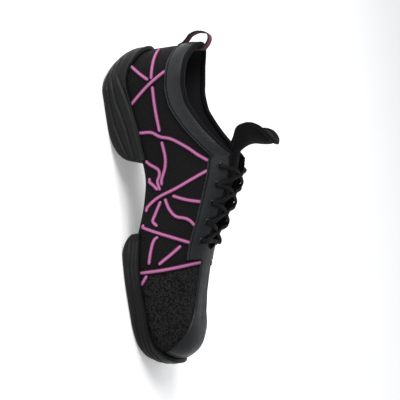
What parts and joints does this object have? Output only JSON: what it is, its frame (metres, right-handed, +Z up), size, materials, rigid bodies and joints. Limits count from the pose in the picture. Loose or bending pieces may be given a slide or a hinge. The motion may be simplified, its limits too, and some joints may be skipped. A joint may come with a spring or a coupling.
{
  "type": "dance sneaker",
  "caption": "Split-sole dance sneaker with a mesh upper, leather collar and eyestay, padded tongue, criss-cross laces and moulded heel and forefoot blocks.",
  "frame": {"origin": "on the floor, at the centre of the heel block's flat tread", "axes": "+X from heel to toe, +Y towards the foot's outer (lateral) side, +Z up, with both sole blocks standing on Z = 0"},
  "size_m": [0.2639, 0.0999, 0.1304],
  "materials": {
    "black_mesh": "ribbed open mesh, matte, black",
    "black_leather": "fine grained leather, satin, bluish black",
    "black_rubber": "moulded rubber, satin, black",
    "grey_lining": "brushed lining cloth, matte, dark grey",
    "black_padding": "padded cloth, matte, black",
    "black_cord": "braided cord, matte, black",
    "raspberry_ribbon": "woven ribbon, dull raspberry with black edges",
    "black_eyelets": "glossy black"
  },
  "bodies": {
    "root": {"upper": "black_mesh", "collar_band": "black_leather", "toe_strip": "black_leather", "heel_sole": "black_rubber", "forefoot_sole": "black_rubber", "insole": "grey_lining", "tongue": "black_padding", "pull_loop": "raspberry_ribbon", "eyelet_medial_1": "black_eyelets", "eyelet_medial_2": "black_eyelets", "eyelet_medial_3": "black_eyelets", "eyelet_medial_4": "black_eyelets", "eyelet_medial_5": "black_eyelets", "eyelet_lateral_1": "black_eyelets", "eyelet_lateral_2": "black_eyelets", "eyelet_lateral_3": "black_eyelets", "eyelet_lateral_4": "black_eyelets", "eyelet_lateral_5": "black_eyelets", "lace_crossing_1": "black_cord", "lace_crossing_2": "black_cord", "lace_crossing_3": "black_cord", "lace_crossing_4": "black_cord", "lace_bar": "black_cord"}
  },
  "joints": []
}
